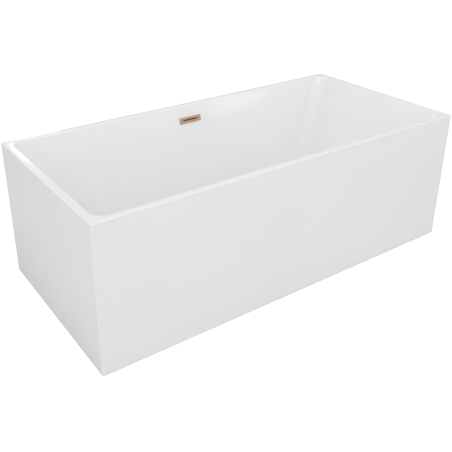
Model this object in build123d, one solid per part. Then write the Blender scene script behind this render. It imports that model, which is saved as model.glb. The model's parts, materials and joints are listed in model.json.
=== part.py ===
"""A rectangular double-ended freestanding bathtub, in millimetres.

+X runs along the tub, +Y towards the wall that carries the overflow, +Z up. The origin is on the
finished floor, under the middle of the tub, where the feet stand.

An acrylic basin with a thin flat rim is bonded to an acrylic skirt, and both are backed with glass
fibre. A board under the basin rests on a welded frame of square steel tube, on six screw feet. A push
plug, a waste with a turning trap, and a slotted overflow with its pipe make up the drain.
"""

from build123d import *
import os
from math import cos, radians, sin, tan

# ---- driving dimensions: shells -----------------------------------------------------------------

LENGTH, WIDTH, HEIGHT = 1700, 800, 580
RIM_END, RIM_SIDE = 31, 28          # width of the flat rim at the ends and along the sides
FLOOR_Z = 160                       # bathing floor above the finished floor
END_SLOPE, SIDE_SLOPE = radians(28.3), radians(14.5)    # the walls' lean from vertical
RIM_CORNER_R, FLOOR_CORNER_R = 50, 75                   # plan corners at the rim and at the floor
FLOOR_BEND_R = 62                   # bend between floor and walls
LIP_R = 6                           # rounding of the rim's inner edge
OUTER_EDGE_R, OUTER_CORNER_R, SKIRT_EDGE_R = 2.5, 4, 1
LEAST_CORNER_R = 1                  # of the skirt's inner corners
SHEET, LAMINATE = 4, 3              # basin: acrylic, and the glass fibre behind it
SKIRT_SHEET, SKIRT_LAMINATE = 4, 2
LAMINATE_MARGIN = 35                # basin's backing stops this far under the rim
SKIRT_MARGIN = 8                    # skirt's backing stops this far above its lower edge
SKIRT_GAP = 3                       # skirt's lower edge above the finished floor
SKIRT_FLANGE = 14                   # skirt's inward flange under the rim
BEAD_T, BEAD_CORNER_R = 12, 16      # bonding paste under the rim
RECESS_R, RECESS_DEPTH = 45, 3      # the waste's seat in the floor
DRAIN_HOLE_R = 26

# ---- driving dimensions: board, frame and feet --------------------------------------------------

BOARD_X, BOARD_Y, BOARD_T, BOARD_CORNER_R, BOARD_HOLE_R = 1080, 410, 16, 50, 58
TUBE, TUBE_WALL = 30, 1.5           # square steel tube
RAIL_Y = 180
CROSSBARS = {"left": -520, "mid": 160, "right": 520}    # the middle one stands clear of the trap
CROSSBAR_END_GAP = 4                # from a tube's end cap to the skirt's backing
CAP_HEAD, CAP_PLUG, CAP_FIT = 2, 12, 0.1                # plastic end caps
BRACKET_T, BRACKET_W, BRACKET_REACH, BRACKET_RISE = 3, 24, 44, 40
BRACKET_SCREW_BACK = 30             # screw's distance from the skirt's backing
SCREW_SHANK_R, SCREW_HEAD_R, SCREW_HEAD_T, SCREW_DROP = 2.5, 5, 3, 8
RUNNING_GAP = 0.05                  # radial gap of a shaft or thread in its hole
NUT_FLATS, WELD_NUT_T = 19, 10      # M12 nuts
FOOT_Y = 330
STUD_R, STUD_TOP_Z, STUD_HOLE_R, STUD_CHAMFER = 6, 100, 6.5, 1
COLLAR_Z, COLLAR_T = 20, 8          # the stud's hexagon for a spanner
LOCK_NUT_T, LOCK_NUT_GAP = 8, 7     # the lock nut waits this far under the weld nut
PAD_R, PAD_T, PAD_CONE_R, PAD_NECK_R, PAD_TOP, PAD_EDGE_R = 27, 5, 22, 13, 18, 1
PAD_SOCKET_Z, STUD_FOOT_GAP = 5, 0.5

# ---- driving dimensions: plug, waste and trap ---------------------------------------------------

PLUG_TRAVEL, PLUG_REST_GAP = 8, 0.2
FLANGE_T, FLANGE_R, FLANGE_EDGE_R, FLANGE_SEAL_T = 2.5, 40, 1.2, 1.5
TAIL_R, TAIL_BORE_R, TAIL_Z = 23.9, 20.5, 115
LEAD_IN, LEAD_IN_Z = 3.2, 3.1       # cone that opens the throat, and its depth under the ring's top
HUB_Z, HUB_T, HUB_R, RIB_T, RIBS = 126, 8, 11, 3, 4     # hub on ribs in the throat
CARTRIDGE_R, CARTRIDGE_COLLAR_R, CARTRIDGE_TOP = 7, 9.5, 144
CHAMBER_R, CHAMBER_Z, CHAMBER_TOP = 6, 118, 138
STEM_R, STEM_COLLAR_R, STEM_COLLAR_T, STEM_IN_CAP = 4, 5.6, 2.4, 2
SPRING_R, WIRE_R, SPRING_TURNS, END_GAP = 4.6, 0.6, 5, 0.1
PLUG_SEAL_T, PLUG_SEAL_R, PLUG_SEAL_IN_R = 2.5, 29, 19.5
CAP_R, CAP_EDGE, CAP_DOME, CAP_EDGE_R = 33, 3.4, 2.9, 1.2
CAP_BOSS_R, CAP_BOSS_DROP, CAP_BORE_GAP = 8, 5.7, 0.4

WASTE_GASKET_T = 3
SEAL_INSET = 1                      # seals end this far inside the rings that squeeze them
WASTE_R, WASTE_BORE_R, WASTE_Z, WASTE_BASE_T = 29, 24, 70, 4
WASTE_FLANGE_R, WASTE_FLANGE_T = 45, 5
DIP_R, DIP_BORE_R, DIP_Z = 17, 14.5, 27                 # dip tube into the trap's pot
INLET_Z, INLET_R, INLET_END_Y = 92, 14, 52              # overflow's inlet on the waste body
TRAP_R, TRAP_Z, TRAP_TOP, TRAP_WALL, TRAP_EDGE_R = 46, 14, 60, 3, 3
POT_R, POT_WALL, POT_TOP = 30, 2, 52                    # pot that holds the water seal
NECK_R, NECK_BORE_R, NECK_FLANGE_R, NECK_FLANGE_T = 24, 19, 28.5, 3.6
TURN_GAP, THREAD_GAP = 0.2, 0.1
UNION_WALL, UNION_LOW, UNION_TOP = 6, 62, 76
GRIPS, GRIP_W, GRIP_OUT = 8, 5, 3
ARM_Z, ARM_SOCKET_R, ARM_END_X = 37, 23, -80
SPIGOT_R, SPIGOT_BORE_R, SPIGOT_START_X, SPIGOT_END_X = 20, 17.5, -56, -185
STOP_R, STOP_T, STOP_X = 22.5, 3, -95                   # collar that the drain's coupling is pushed up to
OUTLET_SEAL_T, OUTLET_NUT_WALL, OUTLET_NUT_LIP, OUTLET_NUT_GRIP = 4, 4, 3, 12

# ---- driving dimensions: overflow, in its own frame on the wall ---------------------------------

OVERFLOW_DEPTH = 66                 # its middle below the rim
HOLE_X, HOLE_Y, HOLE_R = 84, 14, 4
COVER_X, COVER_Y, COVER_T, COVER_EDGE_R, COVER_LIFT = 110, 26.5, 5, 0.8, 0.1
PANEL_X, PANEL_Y, PANEL_DEPTH = 92, 17.5, 1.3           # the cover's sunk panel
SLOT_X, SLOT_Y, SLOT_R = 75, 5, 1.5
COLLAR_X, COLLAR_Y, COLLAR_R, COLLAR_BACK = 82, 12, 3, 5
CAVITY_X, CAVITY_Y, CAVITY_R, FACE_WALL = 78, 9, 2, 1.6 # the collar's hollow, and the face left before it
SEAL_X, SEAL_Y, OVERFLOW_SEAL_T = 116, 30, 2
HOUSING_X, HOUSING_Y, HOUSING_DEPTH, HOUSING_WALL, HOUSING_FLANGE_T = 92, 24, 24, 2, 3
PIPE_R, PIPE_WALL, PIPE_BEND_R, PIPE_GAP = 10, 1.5, 70, 0.5
PIPE_IN_WASTE = 3                   # pipe's end inside the waste body's wall
SPIGOT_REACH = 22
SCREW_XS, SCREW_R, SCREW_CAP_R, SCREW_CAP_T, SCREW_BITE = (-50, 50), 1.75, 3.5, 2.2, 2

# ---- levels and places worked out from them -----------------------------------------------------

PAST = 1                            # how far a cutting tool runs past what it cuts
NEAR = 0.01                         # two heights this close are the same

RECESS_Z = FLOOR_Z - RECESS_DEPTH
LAMINATE_Z = FLOOR_Z - SHEET - LAMINATE                 # underside of the basin's backing
BOARD_Z = LAMINATE_Z - BOARD_T
RAIL_Z = BOARD_Z - TUBE
CROSSBAR_Z = RAIL_Z - TUBE
SKIRT_TOP = HEIGHT - SHEET
SKIRT_IN_X = LENGTH / 2 - SKIRT_SHEET - SKIRT_LAMINATE
SKIRT_IN_Y = WIDTH / 2 - SKIRT_SHEET - SKIRT_LAMINATE
RAIL_LENGTH = 2 * (SKIRT_IN_X - CROSSBAR_END_GAP - CAP_HEAD)
CROSSBAR_LENGTH = 2 * (SKIRT_IN_Y - CROSSBAR_END_GAP - CAP_HEAD)
BRACKET_END = CROSSBAR_END_GAP + CAP_HEAD               # from a tube's open end to the skirt's backing
FEET = [(x, side * FOOT_Y) for x in CROSSBARS.values() for side in (-1, 1)]

FLANGE_Z = RECESS_Z + FLANGE_SEAL_T                     # underside of the waste's visible ring
FLANGE_TOP = FLANGE_Z + FLANGE_T
PLUG_SEAL_Z = FLANGE_TOP + PLUG_REST_GAP + PLUG_TRAVEL
CAP_Z = PLUG_SEAL_Z + PLUG_SEAL_T
STEM_COLLAR_TOP = CHAMBER_TOP - END_GAP
SEAT_Z = LAMINATE_Z - RECESS_DEPTH                      # underside of the backing at the waste
WASTE_TOP = SEAT_Z - WASTE_GASKET_T

OVERFLOW_Z = HEIGHT - OVERFLOW_DEPTH
OVERFLOW_Y = WIDTH / 2 - RIM_SIDE - OVERFLOW_DEPTH * tan(SIDE_SLOPE)
BACK_Z = -SHEET - LAMINATE          # back of the basin's wall, in the overflow's own frame
HOUSING_Z = BACK_Z - OVERFLOW_SEAL_T
PIPE_BACK = HOUSING_Z - HOUSING_FLANGE_T - PIPE_GAP - PIPE_R


# ---- simple solids ------------------------------------------------------------------------------

def rod(r, z0, z1, x=0, y=0):
    """An upright cylinder from z0 to z1."""
    return Pos(x, y, (z0 + z1) / 2) * Cylinder(r, z1 - z0)


def ring(r_out, r_in, z0, z1):
    """An upright ring from z0 to z1, on the drain's axis."""
    return rod(r_out, z0, z1) - rod(r_in, z0 - PAST, z1 + PAST)


def block(x0, x1, y0, y1, z0, z1):
    """A box between two corners."""
    return Pos((x0 + x1) / 2, (y0 + y1) / 2, (z0 + z1) / 2) * Box(x1 - x0, y1 - y0, z1 - z0)


def slab(size_x, size_y, corner_r, z0, z1):
    """An upright prism on a rounded rectangle."""
    return extrude(Pos(0, 0, z0) * RectangleRounded(size_x, size_y, corner_r), z1 - z0)


def hexagon(z0, z1, x, y):
    """An upright hexagonal prism, as wide as an M12 nut."""
    outline = RegularPolygon(NUT_FLATS / 2, 6, major_radius=False)
    return extrude(Pos(x, y, z0) * outline, z1 - z0)


def along_x(r, x0, x1, z):
    """A cylinder along X, through the drain's axis."""
    return Pos((x0 + x1) / 2, 0, z) * (Rot(0, 90, 0) * Cylinder(r, x1 - x0))


def along_y(r, y0, y1, z):
    """A cylinder along Y, through the drain's axis."""
    return Pos(0, (y0 + y1) / 2, z) * (Rot(90, 0, 0) * Cylinder(r, y1 - y0))


# ---- basin and skirt ----------------------------------------------------------------------------

def basin_section(z, offset):
    """The basin's outline at height z, grown outwards by offset square to its walls."""
    depth = HEIGHT - z
    half_x = LENGTH / 2 - RIM_END - depth * tan(END_SLOPE) + offset / cos(END_SLOPE)
    half_y = WIDTH / 2 - RIM_SIDE - depth * tan(SIDE_SLOPE) + offset / cos(SIDE_SLOPE)
    share = depth / (HEIGHT - FLOOR_Z)
    corner_r = RIM_CORNER_R + (FLOOR_CORNER_R - RIM_CORNER_R) * share + offset
    return Pos(0, 0, z) * RectangleRounded(2 * half_x, 2 * half_y, corner_r)


def basin_form(offset, top):
    """The space inside the basin grown by offset, as a closed solid that ends at height top."""
    low = FLOOR_Z - offset
    form = loft([basin_section(low, offset), basin_section(top, offset)], ruled=True)
    floor_edges = form.edges().group_by(Axis.Z)[0]
    return fillet(floor_edges, FLOOR_BEND_R + offset)


def edges_at(shape, z, outer):
    """The edges in the level plane z that lie on the tub's outer faces, or all the others there."""
    def is_outer(edge):
        point = edge.center()
        return max(abs(point.X) - LENGTH / 2, abs(point.Y) - WIDTH / 2) > -OUTER_CORNER_R
    return [edge for edge in shape.edges() if abs(edge.center().Z - z) < NEAR and is_outer(edge) == outer]


def basin_shell():
    """Formed acrylic basin, its flat rim, the waste's seat and hole, and the overflow's slot."""
    shell = slab(LENGTH, WIDTH, OUTER_CORNER_R, SKIRT_TOP, HEIGHT)
    shell += basin_form(SHEET, HEIGHT - SHEET / 2)
    shell += rod(RECESS_R + SHEET, RECESS_Z - SHEET, FLOOR_Z - SHEET / 2)
    shell -= basin_form(0, HEIGHT + PAST)
    shell -= rod(RECESS_R, RECESS_Z, FLOOR_Z + PAST)
    shell -= rod(DRAIN_HOLE_R, RECESS_Z - SHEET - PAST, FLOOR_Z)
    shell = fillet(edges_at(shell, HEIGHT, outer=False), LIP_R)
    return fillet(edges_at(shell, HEIGHT, outer=True), OUTER_EDGE_R) - overflow_hole()


def basin_laminate():
    """Glass-fibre backing on the basin, which stops short of the rim."""
    top = HEIGHT - LAMINATE_MARGIN
    backing = basin_form(SHEET + LAMINATE, top) - basin_form(SHEET, top + PAST)
    backing += rod(RECESS_R + SHEET + LAMINATE, SEAT_Z, LAMINATE_Z + LAMINATE / 2)
    backing -= rod(RECESS_R + SHEET, RECESS_Z - SHEET, FLOOR_Z)
    backing -= rod(DRAIN_HOLE_R, SEAT_Z - PAST, FLOOR_Z)
    holes = overflow_hole()
    for x in SCREW_XS:
        holes += on_wall(rod(SCREW_R + RUNNING_GAP, BACK_Z - PAST, BACK_Z + LAMINATE + PAST, x))
    return backing - holes


def wall_ring(inset, thick, z0, z1):
    """A rectangular ring, inset from the skirt's outer face."""
    outer_r = max(OUTER_CORNER_R - inset, LEAST_CORNER_R)
    inner_r = max(OUTER_CORNER_R - inset - thick, LEAST_CORNER_R)
    hole = inset + thick
    outer = slab(LENGTH - 2 * inset, WIDTH - 2 * inset, outer_r, z0, z1)
    return outer - slab(LENGTH - 2 * hole, WIDTH - 2 * hole, inner_r, z0 - PAST, z1 + PAST)


def skirt_shell():
    """Formed acrylic skirt with an inward flange under the rim."""
    walls = wall_ring(0, SKIRT_SHEET, SKIRT_GAP, SKIRT_TOP)
    low_edges = edges_at(walls, SKIRT_GAP, outer=True)
    outside = [edge for edge in low_edges if not is_inside_skirt(edge.center())]
    return fillet(outside, SKIRT_EDGE_R) \
        + wall_ring(SKIRT_SHEET / 2, SKIRT_SHEET / 2 + SKIRT_FLANGE, SKIRT_TOP - SKIRT_SHEET, SKIRT_TOP)


def is_inside_skirt(point):
    """True for a point nearer to the skirt's inner faces than to its outer ones."""
    return max(abs(point.X) - LENGTH / 2, abs(point.Y) - WIDTH / 2) < -SKIRT_SHEET / 2


def skirt_laminate():
    """Glass-fibre backing inside the skirt."""
    low = SKIRT_GAP + SKIRT_MARGIN
    return wall_ring(SKIRT_SHEET, SKIRT_LAMINATE, low, SKIRT_TOP - SKIRT_SHEET - SKIRT_LAMINATE)


def rim_bond_bead():
    """Bead of bonding paste between the skirt's flange and the basin's wall, under the rim."""
    size_x, size_y = (size - 2 * (SKIRT_SHEET + SKIRT_FLANGE) for size in (LENGTH, WIDTH))
    bead = slab(size_x, size_y, BEAD_CORNER_R, SKIRT_TOP - BEAD_T, SKIRT_TOP)
    return bead - basin_form(SHEET, HEIGHT + PAST)


def floor_board():
    """Board under the basin's floor, cut away round the waste."""
    board = slab(BOARD_X, BOARD_Y, BOARD_CORNER_R, BOARD_Z, LAMINATE_Z)
    return board - rod(BOARD_HOLE_R, BOARD_Z - PAST, LAMINATE_Z + PAST)


# ---- frame --------------------------------------------------------------------------------------

def square_tube(length):
    """Square tube along X, centred, open at both ends."""
    bore = TUBE - 2 * TUBE_WALL
    return Box(length, TUBE, TUBE) - Box(length + 2 * PAST, bore, bore)


def screw_hole(top, x, y):
    """A bracket screw's hole through a tube's upper wall, whose top face is at height top."""
    return rod(SCREW_SHANK_R + RUNNING_GAP, top - TUBE_WALL - PAST, top + PAST, x, y)


def frame_rail(side):
    """Long tube under the board. side is -1 at the front and 1 at the back."""
    rail = Pos(0, side * RAIL_Y, RAIL_Z + TUBE / 2) * square_tube(RAIL_LENGTH)
    for end in (-1, 1):
        rail -= screw_hole(BOARD_Z, end * (SKIRT_IN_X - BRACKET_SCREW_BACK), side * RAIL_Y)
    return rail


def frame_crossbar(x):
    """Cross tube under the rails, with holes for two feet and two bracket screws."""
    bar = Pos(x, 0, CROSSBAR_Z + TUBE / 2) * (Rot(0, 0, 90) * square_tube(CROSSBAR_LENGTH))
    for side in (-1, 1):
        bar -= rod(STUD_HOLE_R, CROSSBAR_Z - PAST, CROSSBAR_Z + TUBE_WALL + PAST, x, side * FOOT_Y)
        bar -= screw_hole(RAIL_Z, x, side * (SKIRT_IN_Y - BRACKET_SCREW_BACK))
    return bar


def threaded_nut(z0, z1, x, y):
    """A hexagonal nut whose thread is drawn as a plain hole at its major diameter."""
    return hexagon(z0, z1, x, y) - rod(STUD_R + RUNNING_GAP, z0 - PAST, z1 + PAST, x, y)


def tube_ends():
    """Each tube end as a place at the middle of its open end, turned so that +X points outwards."""
    rails = [Pos(end * RAIL_LENGTH / 2, side * RAIL_Y, RAIL_Z + TUBE / 2) * Rot(0, 0, 90 - 90 * end)
             for side in (-1, 1) for end in (-1, 1)]
    bars = [Pos(x, side * CROSSBAR_LENGTH / 2, CROSSBAR_Z + TUBE / 2) * Rot(0, 0, 90 * side)
            for x in CROSSBARS.values() for side in (-1, 1)]
    return rails + bars


def end_cap():
    """Plastic cap with a plug that fills the tube's end."""
    plug = TUBE - 2 * TUBE_WALL - 2 * CAP_FIT
    return Pos(CAP_HEAD / 2, 0, 0) * Box(CAP_HEAD, TUBE, TUBE) \
        + Pos(-CAP_PLUG / 2, 0, 0) * Box(CAP_PLUG, plug, plug)


def bracket():
    """Angle bracket that stands on a tube's end and is bonded to the skirt's backing."""
    half_w, top = BRACKET_W / 2, TUBE / 2 + BRACKET_T
    foot = block(BRACKET_END - BRACKET_REACH, BRACKET_END, -half_w, half_w, TUBE / 2, top)
    leg = block(BRACKET_END - BRACKET_T, BRACKET_END, -half_w, half_w, TUBE / 2, TUBE / 2 + BRACKET_RISE)
    hole = rod(SCREW_SHANK_R + RUNNING_GAP, TUBE / 2 - PAST, top + PAST, BRACKET_END - BRACKET_SCREW_BACK)
    return foot + leg - hole


def bracket_screw():
    """Screw that holds a bracket to the tube's upper wall."""
    x, top = BRACKET_END - BRACKET_SCREW_BACK, TUBE / 2 + BRACKET_T
    return rod(SCREW_HEAD_R, top, top + SCREW_HEAD_T, x) + rod(SCREW_SHANK_R, top - SCREW_DROP, top, x)


# ---- feet ---------------------------------------------------------------------------------------

def foot_pad(x, y):
    """Moulded foot: a wide base that rises to a neck with a socket for the stud."""
    base = rod(PAD_R, 0, PAD_T, x, y)
    base = fillet(base.edges().group_by(Axis.Z)[0], PAD_EDGE_R)
    cone = Pos(x, y, (PAD_T + PAD_TOP) / 2) * Cone(PAD_CONE_R, PAD_NECK_R, PAD_TOP - PAD_T)
    return base + cone - rod(STUD_R + RUNNING_GAP, PAD_SOCKET_Z, PAD_TOP + PAST, x, y)


def foot_stud(x, y):
    """Threaded stud, drawn at its major diameter, with a hexagonal collar for a spanner."""
    stud = rod(STUD_R, PAD_SOCKET_Z + STUD_FOOT_GAP, STUD_TOP_Z, x, y)
    stud = chamfer(stud.edges().group_by(Axis.Z)[-1], STUD_CHAMFER)
    return stud + hexagon(COLLAR_Z, COLLAR_Z + COLLAR_T, x, y)


def foot_lock_nut(x, y):
    """Nut that locks the stud once the foot is set."""
    top = CROSSBAR_Z - WELD_NUT_T - LOCK_NUT_GAP
    return threaded_nut(top - LOCK_NUT_T, top, x, y)


# ---- plug and waste -----------------------------------------------------------------------------

def waste_flange():
    """Visible ring of the waste with its threaded tail, a lead-in to the throat, and the plug's hub."""
    disc = fillet(rod(FLANGE_R, FLANGE_Z, FLANGE_TOP).edges().group_by(Axis.Z)[-1], FLANGE_EDGE_R)
    body = disc + rod(TAIL_R, TAIL_Z, FLANGE_Z + FLANGE_T / 2)
    body -= rod(TAIL_BORE_R, TAIL_Z - PAST, FLANGE_TOP + PAST)
    low = FLANGE_TOP - LEAD_IN_Z
    body -= Pos(0, 0, low + LEAD_IN / 2) * Cone(TAIL_BORE_R, TAIL_BORE_R + LEAD_IN, LEAD_IN)
    half_t = RIB_T / 2
    rib = block(HUB_R - PAST, TAIL_BORE_R + PAST, -half_t, half_t, HUB_Z, HUB_Z + HUB_T)
    ribs = [Rot(0, 0, 360 * (i + 0.5) / RIBS) * rib for i in range(RIBS)]
    hub = rod(HUB_R, HUB_Z, HUB_Z + HUB_T)
    return body + hub + ribs - rod(CARTRIDGE_R + RUNNING_GAP, HUB_Z - PAST, HUB_Z + HUB_T + PAST)


def plug_cartridge():
    """Guide that screws into the hub and holds the plug's stem and spring."""
    body = rod(CARTRIDGE_R, TAIL_Z, HUB_Z + HUB_T) + rod(CARTRIDGE_COLLAR_R, HUB_Z + HUB_T, CARTRIDGE_TOP)
    body -= rod(CHAMBER_R, CHAMBER_Z, CHAMBER_TOP)
    return body - rod(STEM_R + RUNNING_GAP, CHAMBER_TOP - PAST, CARTRIDGE_TOP + PAST)


def plug_stem():
    """Stem that slides in the cartridge. Its collar stops it against the chamber's roof."""
    low = STEM_COLLAR_TOP - STEM_COLLAR_T
    return rod(STEM_R, low, CAP_Z + STEM_IN_CAP) + rod(STEM_COLLAR_R, low, STEM_COLLAR_TOP)


def plug_spring():
    """Coil spring under the stem's collar."""
    low = CHAMBER_Z + END_GAP + WIRE_R
    height = STEM_COLLAR_TOP - STEM_COLLAR_T - END_GAP - WIRE_R - low
    path = Pos(0, 0, low) * Helix(height / SPRING_TURNS, height, SPRING_R)
    return sweep(Plane(path @ 0, z_dir=path % 0) * Circle(WIRE_R), path)


def plug_cap():
    """Domed cap with a boss that turns on the stem."""
    top = CAP_Z + CAP_EDGE + CAP_DOME
    side = Polyline((0, CAP_Z), (CAP_R, CAP_Z), (CAP_R, CAP_Z + CAP_EDGE))
    dome = ThreePointArc(side @ 1, (CAP_R / 2, top - CAP_DOME / 4), (0, top))
    cap = revolve(Plane.XZ * make_face(side + dome + Line((0, top), (0, CAP_Z))), Axis.Z)
    widest = cap.edges().filter_by(lambda edge: edge.bounding_box().size.X > 2 * CAP_R - PAST)
    cap = fillet(widest.sort_by(Axis.Z)[-1], CAP_EDGE_R)
    cap += rod(CAP_BOSS_R, CAP_Z - CAP_BOSS_DROP, CAP_Z)
    bore_top = CAP_Z + STEM_IN_CAP + CAP_BORE_GAP
    return cap - rod(STEM_R + RUNNING_GAP, CAP_Z - CAP_BOSS_DROP - PAST, bore_top)


def waste_body():
    """Moulded body screwed on the ring's tail, with the overflow's inlet and the trap's dip tube."""
    body = rod(WASTE_FLANGE_R, WASTE_TOP - WASTE_FLANGE_T, WASTE_TOP) + rod(WASTE_R, WASTE_Z, WASTE_TOP)
    body += along_y(INLET_R, WASTE_R - PIPE_IN_WASTE, INLET_END_Y, INLET_Z)
    body += rod(DIP_R, DIP_Z, WASTE_Z + WASTE_BASE_T / 2)
    body -= rod(WASTE_BORE_R, WASTE_Z + WASTE_BASE_T, WASTE_TOP + PAST)
    body -= along_y(PIPE_R + RUNNING_GAP, WASTE_R - 2 * PIPE_IN_WASTE, INLET_END_Y + PAST, INLET_Z)
    return body - rod(DIP_BORE_R, DIP_Z - PAST, WASTE_Z + WASTE_BASE_T + PAST)


def trap_union_nut():
    """Large nut that holds the trap to the waste body and lets it turn."""
    r = WASTE_R + UNION_WALL
    shelf = WASTE_Z - NECK_FLANGE_T - 2 * TURN_GAP
    nut = rod(r, UNION_LOW, UNION_TOP) - rod(WASTE_R + THREAD_GAP, shelf, UNION_TOP + PAST)
    nut -= rod(NECK_R + TURN_GAP, UNION_LOW - PAST, UNION_TOP)
    grip = block(r - PAST, r + GRIP_OUT, -GRIP_W / 2, GRIP_W / 2, UNION_LOW, UNION_TOP)
    return nut + [Rot(0, 0, 360 * i / GRIPS) * grip for i in range(GRIPS)]


def trap_drum():
    """Drum-shaped trap: a pot for the water seal, a neck for the union nut, a socket for the outlet."""
    neck_top = WASTE_Z - TURN_GAP
    drum = fillet(rod(TRAP_R, TRAP_Z, TRAP_TOP).edges(), TRAP_EDGE_R)
    drum += rod(NECK_R, TRAP_TOP - PAST, neck_top) + rod(NECK_FLANGE_R, neck_top - NECK_FLANGE_T, neck_top)
    drum += along_x(ARM_SOCKET_R, ARM_END_X, TRAP_WALL - TRAP_R, ARM_Z)
    drum -= rod(TRAP_R - TRAP_WALL, TRAP_Z + TRAP_WALL, TRAP_TOP - TRAP_WALL)
    drum -= rod(NECK_BORE_R, TRAP_TOP - TRAP_WALL - PAST, neck_top + PAST)
    drum -= along_x(SPIGOT_R + THREAD_GAP, ARM_END_X - PAST, TRAP_WALL - TRAP_R + PAST, ARM_Z)
    return drum + ring(POT_R, POT_R - POT_WALL, TRAP_Z + TRAP_WALL - PAST, POT_TOP)


def outlet_seal():
    """Rubber ring squeezed by the outlet's nut."""
    low = ARM_END_X - OUTLET_SEAL_T
    return along_x(ARM_SOCKET_R, low, ARM_END_X, ARM_Z) \
        - along_x(SPIGOT_R + RUNNING_GAP, low - PAST, ARM_END_X + PAST, ARM_Z)


def outlet_nut():
    """Nut on the trap's socket that clamps the outlet pipe."""
    shelf = ARM_END_X - OUTLET_SEAL_T - THREAD_GAP
    low, end = shelf - OUTLET_NUT_LIP, ARM_END_X + OUTLET_NUT_GRIP
    nut = along_x(ARM_SOCKET_R + OUTLET_NUT_WALL, low, end, ARM_Z)
    nut -= along_x(ARM_SOCKET_R + THREAD_GAP, shelf, end + PAST, ARM_Z)
    return nut - along_x(SPIGOT_R + TURN_GAP, low - PAST, end, ARM_Z)


def outlet_pipe():
    """Short outlet pipe, whose free end takes the drain's coupling as far as a collar."""
    pipe = along_x(SPIGOT_R, SPIGOT_END_X, SPIGOT_START_X, ARM_Z)
    pipe += along_x(STOP_R, STOP_X, STOP_X + STOP_T, ARM_Z)
    return pipe - along_x(SPIGOT_BORE_R, SPIGOT_END_X - PAST, SPIGOT_START_X + PAST, ARM_Z)


# ---- overflow -----------------------------------------------------------------------------------

def on_wall(shape):
    """Moves a shape from the overflow's own frame to the back wall: X along the tub, Y up the wall,
    and Z square out of the wall into the basin."""
    wall = Plane(origin=(0, OVERFLOW_Y, OVERFLOW_Z), x_dir=(1, 0, 0),
                 z_dir=(0, -cos(SIDE_SLOPE), sin(SIDE_SLOPE)))
    return wall.location * shape


def overflow_hole():
    """The slot through the basin's wall, for the cover's collar."""
    return on_wall(slab(HOLE_X, HOLE_Y, HOLE_R, BACK_Z - PAST, SHEET))


def overflow_cover():
    """Slotted cover: a plate with a sunk panel, and a hollow collar that clips into the wall."""
    face = slab(COVER_X, COVER_Y, COVER_EDGE_R, COVER_LIFT, COVER_T)
    face = fillet(face.edges().group_by(Axis.Z)[-1], COVER_EDGE_R / 2)
    face -= slab(PANEL_X, PANEL_Y, COVER_EDGE_R, COVER_T - PANEL_DEPTH, COVER_T + PAST)
    cover = face + slab(COLLAR_X, COLLAR_Y, COLLAR_R, -COLLAR_BACK, COVER_T / 2)
    cover -= slab(SLOT_X, SLOT_Y, SLOT_R, -COLLAR_BACK - PAST, COVER_T + PAST)
    cover -= slab(CAVITY_X, CAVITY_Y, CAVITY_R, -COLLAR_BACK - PAST, COVER_T - PANEL_DEPTH - FACE_WALL)
    return on_wall(cover)


def overflow_seal():
    """Soft frame between the overflow's housing and the basin's backing."""
    seal = slab(SEAL_X, SEAL_Y, HOLE_R, HOUSING_Z, BACK_Z)
    seal -= slab(HOLE_X, HOLE_Y, HOLE_R, HOUSING_Z - PAST, BACK_Z + PAST)
    for x in SCREW_XS:
        seal -= rod(SCREW_R + RUNNING_GAP, HOUSING_Z - PAST, BACK_Z + PAST, x)
    return on_wall(seal)


def overflow_housing():
    """Flat box behind the wall that gathers the overflow's water, with a spigot for its pipe."""
    back = HOUSING_Z - HOUSING_DEPTH
    low = -HOUSING_Y / 2 - SPIGOT_REACH
    spigot_r = PIPE_R - PIPE_WALL - RUNNING_GAP
    hollow_x = HOUSING_X - 2 * HOUSING_WALL
    box = slab(SEAL_X, SEAL_Y, HOLE_R, HOUSING_Z - HOUSING_FLANGE_T, HOUSING_Z)
    box += slab(HOUSING_X, HOUSING_Y, HOLE_R, back, HOUSING_Z - PAST)
    box += Pos(0, 0, PIPE_BACK) * (Rot(90, 0, 0) * rod(spigot_r, HOUSING_Y / 2 - PAST, -low))
    box -= slab(hollow_x, HOLE_Y, HOLE_R, back + HOUSING_WALL, HOUSING_Z + PAST)
    box -= Pos(0, 0, PIPE_BACK) * (Rot(90, 0, 0) * rod(spigot_r - PIPE_WALL, 0, -low + PAST))
    for x in SCREW_XS:
        box -= rod(SCREW_R + RUNNING_GAP, back, HOUSING_Z + PAST, x)
    return on_wall(box)


def overflow_screw(x):
    """Screw that holds the housing to the basin's backing."""
    head = HOUSING_Z - HOUSING_FLANGE_T
    screw = rod(SCREW_R, head, BACK_Z + SCREW_BITE, x) + rod(SCREW_CAP_R, head - SCREW_CAP_T, head, x)
    return on_wall(screw)


def overflow_pipe():
    """Pipe from the housing down behind the basin, under the back rail and into the waste body."""
    top = on_wall(Pos(0, -HOUSING_Y / 2 - PIPE_GAP, PIPE_BACK) * Vertex(0, 0, 0)).center()
    corner = Vector(0, top.Y - (top.Z - INLET_Z) * tan(SIDE_SLOPE), INLET_Z)
    end = Vector(0, WASTE_R - PIPE_IN_WASTE, INLET_Z)
    path = FilletPolyline(top, corner, end, radius=PIPE_BEND_R)
    wall = Circle(PIPE_R) - Circle(PIPE_R - PIPE_WALL)
    return sweep(Plane(origin=top, z_dir=corner - top) * wall, path)


def overflow_inlet_nut():
    """Nut on the waste body's inlet that clamps the overflow's pipe."""
    low, end = INLET_END_Y - OUTLET_NUT_GRIP, INLET_END_Y + OUTLET_NUT_LIP
    nut = along_y(INLET_R + OUTLET_NUT_WALL, low, end, INLET_Z)
    nut -= along_y(INLET_R + THREAD_GAP, low - PAST, INLET_END_Y + THREAD_GAP, INLET_Z)
    return nut - along_y(PIPE_R + TURN_GAP, low, end + PAST, INLET_Z)


# ---- every sub-part, by the name of its node ----------------------------------------------------

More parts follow.
